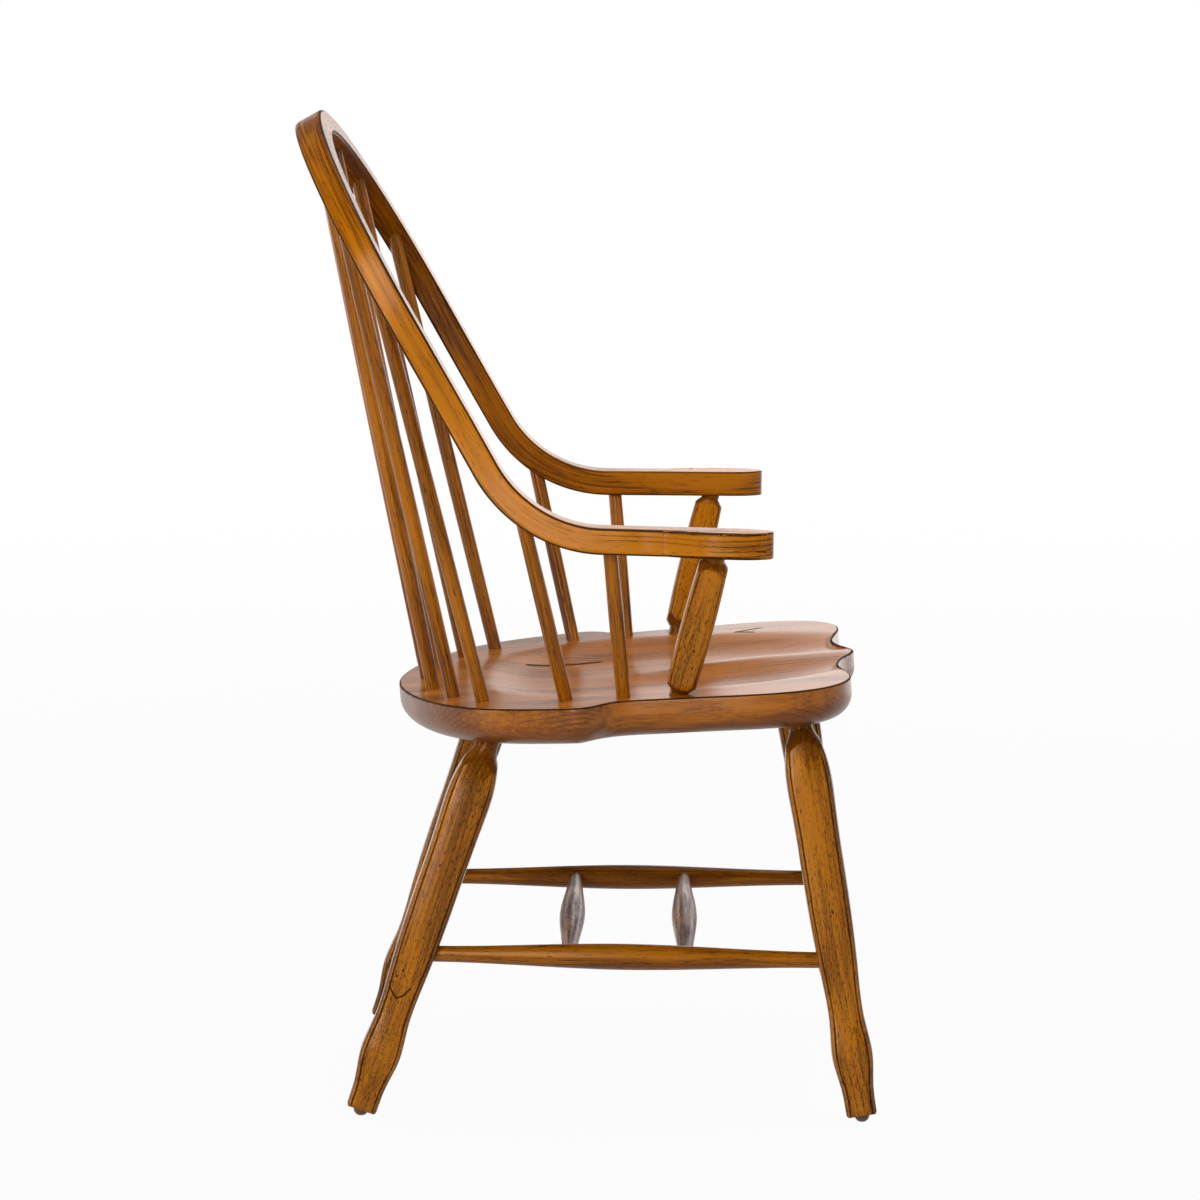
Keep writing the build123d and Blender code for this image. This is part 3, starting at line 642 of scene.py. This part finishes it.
SIDE_STEPS = [s for s in arm_steps() if felt_side(s, False) is not None]
outer = [felt_side(s, False) for s in SIDE_STEPS]
for k, s in enumerate(SIDE_STEPS):
    a, b = max(k - 1, 0), min(k + 1, len(SIDE_STEPS) - 1)
    slope = (outer[b] - outer[a]) / (SIDE_STEPS[b] - SIDE_STEPS[a])
    inner = outer[k] - BAR_W * sqrt(1 + slope * slope)
    if s > TIP_S - HAND_L:
        slope = HAND_SPLAY
        inner = felt_side(s, True)
    tip = min(TIP_S - s, EDGE_R)
    depth = BAR_D - 2 * EDGE_R + 2 * sqrt(EDGE_R ** 2 - (EDGE_R - tip) ** 2)
    STATIONS.append([inner, outer[k], s, slope, 1.0, (BAR_W, depth)])
print("stations", len(STATIONS), "arm from", round(outer[0], 1), "to", round(outer[-1], 1))

# %% [markdown]
# The bar itself starts as a cube with one step of length per station. Its four long edges are
# bevelled, its flats are divided so that the glaze can fade, and then the points move. Where a
# hand block is glued on, the bar's outer side is left square for it.

# %% Bent bar
BLOCK_X = max(row[1] for row in STATIONS)
EDGE_STEPS, FLAT_CUTS = 5, 9


def glued(index):
    """True where a hand block is glued to the outer side."""
    return STATIONS[index][2] > TIP_S - HAND_L and STATIONS[index][1] > BLOCK_X - 1.0


def bow_point(index, u, v):
    """Place on the chair of a bar point: across (-1 to 1), through (-1 to 1), at a station."""
    inner, outside, s, dx, ds, size = STATIONS[index]
    (y, z), (ty, tz) = bow_level(s)
    along = Vector((dx, ds * ty, ds * tz)).normalized()
    face = Vector((0, -tz, ty))
    if face.z < 0:
        face = -face
    out = along.cross(face).normalized()
    if out.x < 0 or (index == 0 and out.z < 0):
        out = -out
    middle = Vector(((inner + outside) / 2, y, z))
    on_crown = index < CROWN_STEPS
    half = size[0] / 2 if on_crown else (outside - inner) / 2
    square = 1.0 if on_crown else abs(out.x)
    if glued(index) and u > 0 and abs(v) > 1 - 1.9 * EDGE_R / BAR_D:
        v = 1.0 if v > 0 else -1.0
    return (middle + out * (u * half * square) + face * (v * size[1] / 2)) * MM


def rise(edge):
    """How far an edge climbs along the straight bar."""
    return abs(edge.verts[0].co.z - edge.verts[1].co.z)


bm = bmesh.new()
bmesh.ops.create_cube(bm, size=2)
last = len(STATIONS) - 1
bar_size = Matrix.Diagonal((BAR_W / 2, BAR_D / 2, last / 2, 1))
bmesh.ops.transform(bm, matrix=bar_size, verts=bm.verts)
bmesh.ops.translate(bm, vec=(0, 0, last / 2), verts=bm.verts)
bmesh.ops.bevel(bm, geom=[e for e in bm.edges if rise(e) > 1], offset=EDGE_R,
                offset_type="OFFSET", affect="EDGES", segments=EDGE_STEPS, profile=0.5, material=-1)
flats = [e for e in bm.edges if rise(e) < 0.1 and e.calc_length() > 10]
bmesh.ops.subdivide_edges(bm, edges=flats, cuts=FLAT_CUTS)
bmesh.ops.subdivide_edges(bm, edges=[e for e in bm.edges if rise(e) > 1], cuts=last - 1)
crown_cap = [f for f in bm.faces if all(v.co.z < 0.01 for v in f.verts)]
bmesh.ops.delete(bm, geom=crown_cap, context="FACES")
lengths = [0.0]
for k in range(last):
    lengths.append(lengths[-1] + (bow_point(k + 1, 0, 0) - bow_point(k, 0, 0)).length)
grain = bm.verts.layers.float_vector.new("grain")
for v in bm.verts:
    k = round(v.co.z)
    v[grain] = Vector((v.co.x * MM, v.co.y * MM, lengths[k]))
    v.co = bow_point(k, v.co.x * 2 / BAR_W, v.co.y * 2 / BAR_D)
print("half bow", len(bm.verts), "points,", round(lengths[-1], 3), "m long")

# %% [markdown]
# The other half is its mirror image. The grain runs on past the crown the other way, so the
# mirrored half counts its length down. The crown took more stain than the hands, and the inner
# face is painted darker than the outer, as painted shade. No glaze lies on the blocks' glue lines.

# %% Whole bow
# The inner face's extra darkening is painted shade
CROWN_STAIN, HAND_PALER, PALER_RUN, INNER_PAINTED_SHADE = 0.03, 0.12, 0.9, 0.05
BEND_LOW, BEND_HIGH = 0.16, 0.40
left_half = set(bm.verts)
bmesh.ops.mirror(bm, geom=bm.verts[:] + bm.edges[:] + bm.faces[:], axis="X", merge_dist=1e-5)
for v in bm.verts:
    if v not in left_half:
        v[grain].z *= -1
bmesh.ops.recalc_face_normals(bm, faces=bm.faces)
stain_and_shading = mark_stain_and_shading(bm, 0.0)
for v in bm.verts:
    u, _, run = v[grain]
    v[stain_and_shading] = CROWN_STAIN - HAND_PALER * ease(abs(run) / PALER_RUN)
    # Painted shade on the inner face
    if u < -0.9 * BAR_W / 2 * MM:
        v[stain_and_shading] += INNER_PAINTED_SHADE
layer = mark_glaze(bm, BEND_LOW, BEND_HIGH)
seam = [lengths[k] for k in range(last) if glued(k)]
for v in bm.verts:
    u, _, run = v[grain]
    if min(seam) <= abs(run) <= max(seam) and u > (BAR_W / 2 - 1.5 * EDGE_R) * MM:
        v[layer] = 0.0
soften(bm, layer, 2)
bow = place_piece("bow_bent", bm, Matrix.Identity(4), "bow_wood", "bow")
bow_solid.free()
print("bow", len(bow.data.vertices), "points")

# %% [markdown]
# ## Hand blocks
# A crescent is glued to the outer side of each hand to widen it. Its outline is a free curve, so a
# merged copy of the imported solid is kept, and only divided finely enough for the glaze to fade.
# It was cut from the same board as the bow, so its grain counts on from the arm's.

# %% Hand blocks
BLOCK_STAIN, BLOCK_SQUEEZE, GLUE_LINE = -0.12, 0.25, 0.0008
# The arm's own frame, taken on its straight part
arm_marks = [k for k, row in enumerate(STATIONS) if LAST + 20 < row[2] < TIP_S - HAND_L]
ARM_A, ARM_B = bow_point(arm_marks[0], 0, 0), bow_point(arm_marks[-1], 0, 0)
ARM_WAY = (ARM_B - ARM_A).normalized()
ARM_UP = Vector((0, -sin(ARM_DROP), cos(ARM_DROP)))
ARM_OUT = ARM_UP.cross(ARM_WAY)
if ARM_OUT.x < 0:
    ARM_OUT = -ARM_OUT


def glue_block(hand, sign):
    """A hand block in its node's stead; sign is the side of the chair."""
    node = f"hand_block_{hand}"
    bm, _ = solid_of(node)
    side = BAR_W / 2 * MM
    for size in (0.016, 0.008, 0.004, 0.003):
        bmesh.ops.triangulate(bm, faces=bm.faces)
        wide = [e for e in bm.edges if e.calc_length() > size]
        bmesh.ops.subdivide_edges(bm, edges=wide, cuts=1)
    bmesh.ops.triangulate(bm, faces=bm.faces)
    bmesh.ops.recalc_face_normals(bm, faces=bm.faces)
    mark_stain_and_shading(bm, BLOCK_STAIN)
    layer = mark_glaze(bm, BEND_LOW, BEND_HIGH)
    grain = bm.verts.layers.float_vector.new("grain")
    for v in bm.verts:
        step = Vector((v.co.x * sign, v.co.y, v.co.z)) - ARM_A
        out = step.dot(ARM_OUT)
        u = min(out, side + BLOCK_SQUEEZE * (out - side))
        run = lengths[arm_marks[0]] + step.dot(ARM_WAY)
        v[grain] = Vector((u, step.dot(ARM_UP), sign * run))
        if out < side + GLUE_LINE:
            v[layer] = 0.0
    soften(bm, layer, 2)
    return place_piece(node + "_carved", bm, Matrix.Identity(4), "bow_wood", node)


for hand, sign in (("left", 1), ("right", -1)):
    glue_block(hand, sign)
print("hand blocks 2, pieces so far", len(made_so_far))

# %% [markdown]
# ## Seat
# The seat is one thick plank: hollowed for two thighs with a ridge between, drawn in at the waist,
# and rounded underneath. A grid would leave stairs along the outline, so a disc is spun from a
# half profile and its rings are then laid out: the rim follows the outline felt on the solid, and
# the rings inside it shrink towards the middle and sink into the hollow.

# %% Seat outline
# Height and tilt of the plank, its thickness, the rounding underneath, and points round its rim
SEAT_H, TILT, SEAT_T, UNDER_R, SEAT_SIDES = 459.3, radians(4.0), 41.5, 25.0, 480
# Depth below the top at which the outline is felt, from this far out
FELT_DROP, FAR_OUT = 8.0, 500.0
seat_solid, seat_tree = solid_of("seat")
SEAT_PLACE = Matrix.Translation((0, 0, SEAT_H * MM)) @ Matrix.Rotation(-TILT, 4, "X")
CENTRE = Vector((0, -45))
OUTLINE = []
for k in range(SEAT_SIDES):
    a = 2 * pi * k / SEAT_SIDES
    way = Vector((cos(a), sin(a)))
    far = CENTRE + way * FAR_OUT
    start = SEAT_PLACE @ (Vector((far.x, far.y, -FELT_DROP)) * MM)
    hit = seat_tree.ray_cast(start, SEAT_PLACE.to_3x3() @ Vector((-way.x, -way.y, 0)))[0]
    OUTLINE.append((SEAT_PLACE.inverted() @ hit).xy / MM)
INWARD = []
for k in range(SEAT_SIDES):
    edge = (OUTLINE[(k + 1) % SEAT_SIDES] - OUTLINE[k - 1]).normalized()
    INWARD.append(Vector((-edge.y, edge.x)))
seat_wide, seat_front = max(p.x for p in OUTLINE) * 2, min(p.y for p in OUTLINE)
print("seat", round(seat_wide, 1), "wide, front edge at", round(seat_front, 1))

# %% [markdown]
# The hollow follows one formula, the same that shaped the solid: deepest under the thighs, fading
# out before the rim, with a smooth ridge rising towards the front. The top is painted paler, as a
# painted sheen; the rounding underneath and the rear side are painted darker, as painted shade.

# %% Saddled plank
DISH_DEPTH, DISH_HALF_W, RIDGE_W = 15.0, 226.0, 50.0
DISH_MID, DISH_REAR, DISH_FRONT = -55.0, 185.0, 300.0
# Rounding of the rim, the flat lip inside it, and rings on the top, the side, below and under
RIM_R, LIP = 1.6, 4.0
TOP_RINGS, SIDE_RINGS, ROUND_RINGS, UNDER_RINGS = 40, 6, 12, 6
# Painted sheen on the top, painted shade under the rounding and on the rear side
TOP_PAINTED_SHEEN, UNDER_PAINTED_SHADE, REAR_PAINTED_SHADE = 0.09, 0.14, 0.12


def hollow(x, y):
    """How far the top is sunk at a place on the plank."""
    back = (y - DISH_MID) / (DISH_REAR if y > DISH_MID else DISH_FRONT)
    room = 1 - abs(x / DISH_HALF_W) ** 2.4 - abs(back) ** 2.2
    ridge = exp(-((x / RIDGE_W) ** 2)) * ease((20 - y) / 230)
    return DISH_DEPTH * ease(1.25 * room) * (1 - 0.96 * ridge)


def seat_rows():
    """Half profile from the middle of the top round to the middle below: inset, share, drop."""
    rows = [(LIP, k / TOP_RINGS, 0.0) for k in range(TOP_RINGS + 1)]
    for a in (0.0, 0.4, 0.8, 1.2, pi / 2):
        rows.append((RIM_R * (1 - sin(a)), 1.0, RIM_R * (1 - cos(a))))
    flat = SEAT_T - UNDER_R
    for k in range(1, SIDE_RINGS + 1):
        rows.append((0.0, 1.0, RIM_R + (flat - RIM_R) * k / SIDE_RINGS))
    for k in range(1, ROUND_RINGS + 1):
        a = pi / 2 * k / ROUND_RINGS
        rows.append((UNDER_R * (1 - cos(a)), 1.0, flat + UNDER_R * sin(a)))
    rows += [(UNDER_R, 1 - k / UNDER_RINGS, SEAT_T) for k in range(1, UNDER_RINGS + 1)]
    return rows


ROWS = seat_rows()
bm = bmesh.new()
row = [bm.verts.new((k + 1, 0, 0)) for k in range(len(ROWS))]
spin_row(bm, row, SEAT_SIDES)
for v in bm.verts:
    inset, share, drop = ROWS[round(v.co.xy.length) - 1]
    k = round(atan2(v.co.y, v.co.x) / (2 * pi) * SEAT_SIDES) % SEAT_SIDES
    rim = OUTLINE[k] + INWARD[k] * inset
    spot = CENTRE + (rim - CENTRE) * share
    if inset >= LIP and drop == 0:
        drop = hollow(spot.x, spot.y)
    v.co = Vector((spot.x, spot.y, -drop)) * MM
bmesh.ops.remove_doubles(bm, verts=bm.verts, dist=TOUCH)
bmesh.ops.recalc_face_normals(bm, faces=bm.faces)
mark_grain(bm, swap=True)
bm.normal_update()
stain_and_shading = mark_stain_and_shading(bm, 0.0)
# Painted sheen on the upward faces, painted shade low on the rounding and towards the rear side
for v in bm.verts:
    top = ease((v.normal.z - 0.3) / 0.5)
    low = ease((-v.co.z / MM - 12) / 24)
    rear = ease((v.co.y / MM - 60) / 120)
    v[stain_and_shading] = (1 - top) * (UNDER_PAINTED_SHADE * low + REAR_PAINTED_SHADE * rear) - TOP_PAINTED_SHEEN * top
soften(bm, mark_glaze(bm, 0.15, 0.50), 1)
seat = place_piece("seat_plank", bm, SEAT_PLACE, "seat_wood", "seat")
seat_solid.free()
print("seat", len(seat.data.vertices), "points")

# %% [markdown]
# ## Glides
# A domed steel nail under each foot is painted brown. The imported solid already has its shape, so
# it only gets a finish: dark paint, scuffed where it meets the floor.

# %% Painted nails
PAINT, STEEL = (0.12, 0.05, 0.015, 1), (0.3, 0.27, 0.24, 1)


def nail_paint():
    """Brown paint, scuffed to the steel near the floor."""
    material, start, output = new_finish("brown_nail_paint")
    place = start.node("TexCoord", {}, {}, out="Object")
    speck = place.node("TexNoise", {}, {"Vector": place, "Scale": 900.0, "Detail": 2.0})
    height = place.node("SeparateXYZ", {}, {"Vector": place}, out="Z")
    scuff = (height + 0.002 * (speck - 0.5)).ramp(0.0016, 0.0002)
    colour = start.node("Mix", {"data_type": "RGBA"}, {0: scuff, 6: PAINT, 7: STEEL}, out=2)
    sockets = {"Base Color": colour, "Metallic": 0.7 * scuff, "Roughness": 0.4 + 0.25 * speck}
    shader = start.node("BsdfPrincipled", {}, {**sockets, "IOR": 1.5})
    start.tree.links.new(shader.socket, output.inputs["Surface"])
    return material


paint = nail_paint()
for node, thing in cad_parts.items():
    if node.startswith("glide"):
        thing.data.materials.clear()
        thing.data.materials.append(paint)
print("glides painted")

# %% [markdown]
# ## Studio
# The chair stands on a wide pale sweep with a low wall far away. To the camera and to the lacquer
# both are nearly white; to everything else they are plain and pale. Round the chair the sweep keeps
# more of its own shading, so the shadow stays. The room above is dim, as a studio is, and so the
# soft boxes draw the forms.

# %% Floor and room
ROOM, WALL_H, AIR = 150.0, 30.0, 0.12
FLOOR_GREY, NEAR_WHITE, NEAR, FAR = (0.4, 0.4, 0.4, 1), 0.95, 0.8, 6.0


def seen_directly(start):
    """1 for camera, mirror and glass rays, 0 for the light that bounces about the room."""
    camera_ray = start.node("LightPath", {}, {}, out="Is Camera Ray")
    glossy_ray = start.node("LightPath", {}, {}, out="Is Glossy Ray")
    glass_ray = start.node("LightPath", {}, {}, out="Is Transmission Ray")
    return (camera_ray + glossy_ray + glass_ray).ramp(0.0, 1.0)


def floor_finish():
    """Matt and pale to the light, nearly white to the eye and to the lacquer."""
    material, start, output = new_finish("pale_sweep")
    place = start.node("TexCoord", {}, {}, out="Object")
    far = place.vector("LENGTH", out="Value").ramp(NEAR, FAR)
    matt = start.node("BsdfDiffuse", {}, {"Color": FLOOR_GREY})
    white = start.node("Emission", {}, {"Color": (1, 1, 1, 1), "Strength": 1.0})
    share = (NEAR_WHITE + (1 - NEAR_WHITE) * far) * seen_directly(start)
    both = start.node("MixShader", {}, {0: share, 1: matt, 2: white})
    start.tree.links.new(both.socket, output.inputs["Surface"])
    return material


bm = bmesh.new()
bmesh.ops.create_grid(bm, x_segments=1, y_segments=1, size=ROOM)
wall = bmesh.ops.create_circle(bm, segments=64, radius=ROOM)["verts"]
rim = list({e for v in wall for e in v.link_edges})
raised = bmesh.ops.extrude_edge_only(bm, edges=rim)["geom"]
raised = [part for part in raised if isinstance(part, bmesh.types.BMVert)]
bmesh.ops.translate(bm, vec=(0, 0, WALL_H), verts=raised)
mesh = bpy.data.meshes.new("floor")
bm.to_mesh(mesh)
bm.free()
mesh.materials.append(floor_finish())
floor = bpy.data.objects.new("floor", mesh)
bpy.context.scene.collection.objects.link(floor)
world = bpy.data.worlds.new("room")
world.use_nodes = True
world.node_tree.nodes.clear()
air = Value(world.node_tree).node("Background", {}, {"Color": (1, 1, 1, 1), "Strength": AIR})
sky = world.node_tree.nodes.new("ShaderNodeOutputWorld")
world.node_tree.links.new(air.socket, sky.inputs["Surface"])
bpy.context.scene.world = world
bpy.context.scene.view_settings.view_transform = "Standard"
print("floor and room ready")

# %% [markdown]
# Seven soft boxes do the modelling. The main one stands over the camera's left shoulder, with a
# narrow low one below it for the highlights on the legs, and one hangs above the seat. A tall strip
# behind the chair draws a line on its rear corners. Weak ones fill the front and the far rear, and
# a panel on the far side lays a sheen on the seat, the arms and the bow.

# %% Soft boxes
def soft_box(name, place, aim, wide, high, watts):
    """A soft box at a place, aimed at another, that the camera can't see."""
    light = bpy.data.lights.new(name, "AREA")
    light.shape = "RECTANGLE"
    light.size, light.size_y = wide, high
    light.energy = watts
    lamp = bpy.data.objects.new(name, light)
    lamp.location = place
    lamp.rotation_euler = (Vector(aim) - Vector(place)).to_track_quat("-Z", "Y").to_euler()
    lamp.visible_camera = False
    bpy.context.scene.collection.objects.link(lamp)


# Place, aim, width, height and watts of each
BOXES = {
    "main_soft_box": ((-3.41, 1.38, 2.16), (0, 0, 0.6), 1.5, 1.8, 85),
    "top_soft_box": ((0.3, -0.4, 3.4), (0, 0, 0.5), 1.6, 1.6, 70),
    "strip_soft_box": ((-1.0, 3.0, 1.0), (0, 0, 0.6), 0.6, 2.0, 22),
    "low_soft_box": ((-3.6, 0.85, 0.8), (-0.25, 0.1, 0.35), 0.45, 1.2, 21),
    "front_soft_box": ((-2.0, -3.2, 1.8), (0, 0, 0.5), 1.6, 1.6, 26),
    "sheen_panel": ((3.0, -1.75, 1.4), (0, -1.75, 1.2), 3.5, 2.8, 27),
    "far_soft_box": ((2.6, 2.8, 0.9), (0, 0, 0.5), 1.4, 1.4, 20),
}
for name, box in BOXES.items():
    soft_box(name, *box)
print("soft boxes", len(BOXES))
